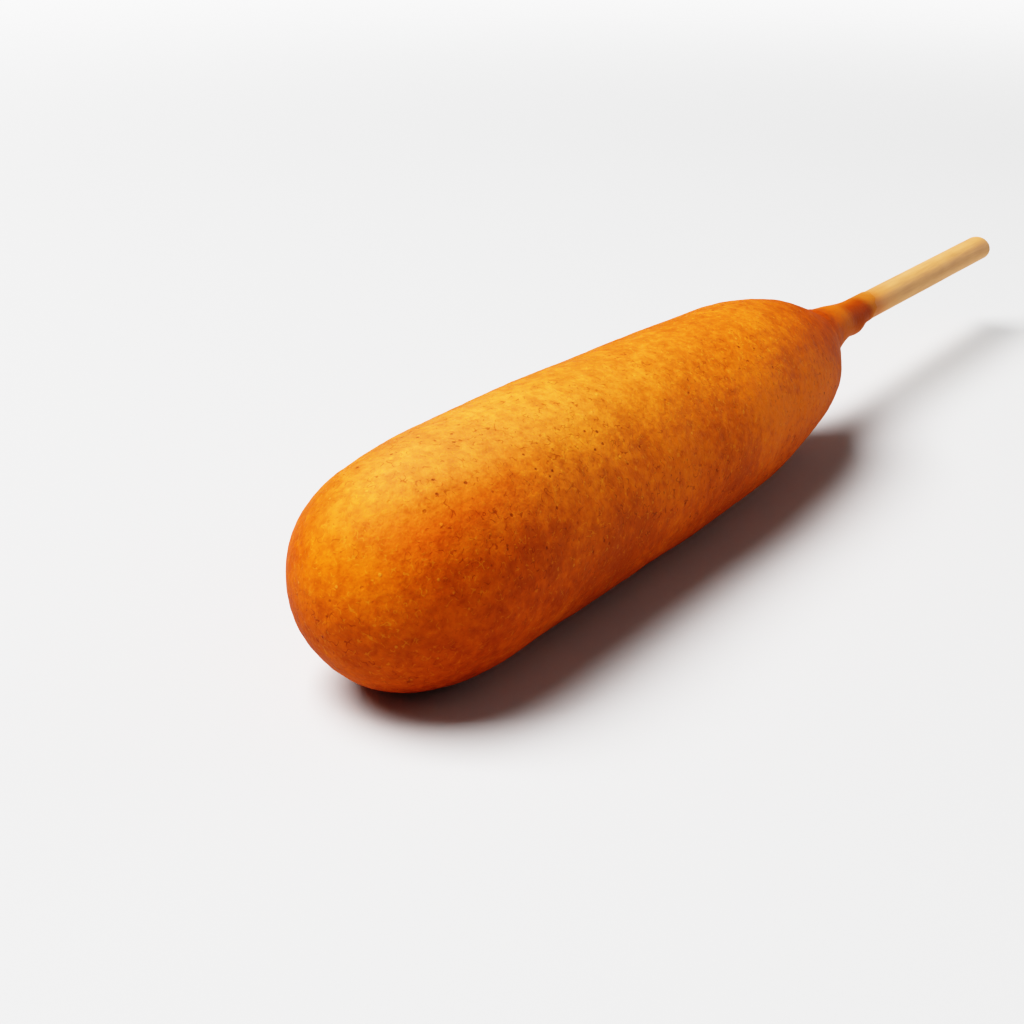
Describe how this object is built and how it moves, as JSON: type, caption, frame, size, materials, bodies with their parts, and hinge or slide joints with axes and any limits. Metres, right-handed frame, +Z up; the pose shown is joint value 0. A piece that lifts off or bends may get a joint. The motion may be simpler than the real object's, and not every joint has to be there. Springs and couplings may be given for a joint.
{
  "type": "battered sausage on a stick",
  "caption": "Fried cornmeal-battered sausage on a round wooden stick, uneaten, lying on its side, with a collar of batter running out along the stick.",
  "frame": {"origin": "under the middle of the whole length, on the surface that it lies on", "axes": "+X along the sausage from its round nose to the end of the stick, +Z up"},
  "size_m": [0.198, 0.0303, 0.0296],
  "materials": {
    "fried_batter": "golden orange-brown fried cornmeal batter, finely gritty, with a faint oily sheen",
    "pale_wood": "plain pale birch dowel, smooth, unvarnished"
  },
  "bodies": {
    "root": {"batter_crust": "fried_batter", "wooden_stick": "pale_wood"}
  },
  "joints": []
}
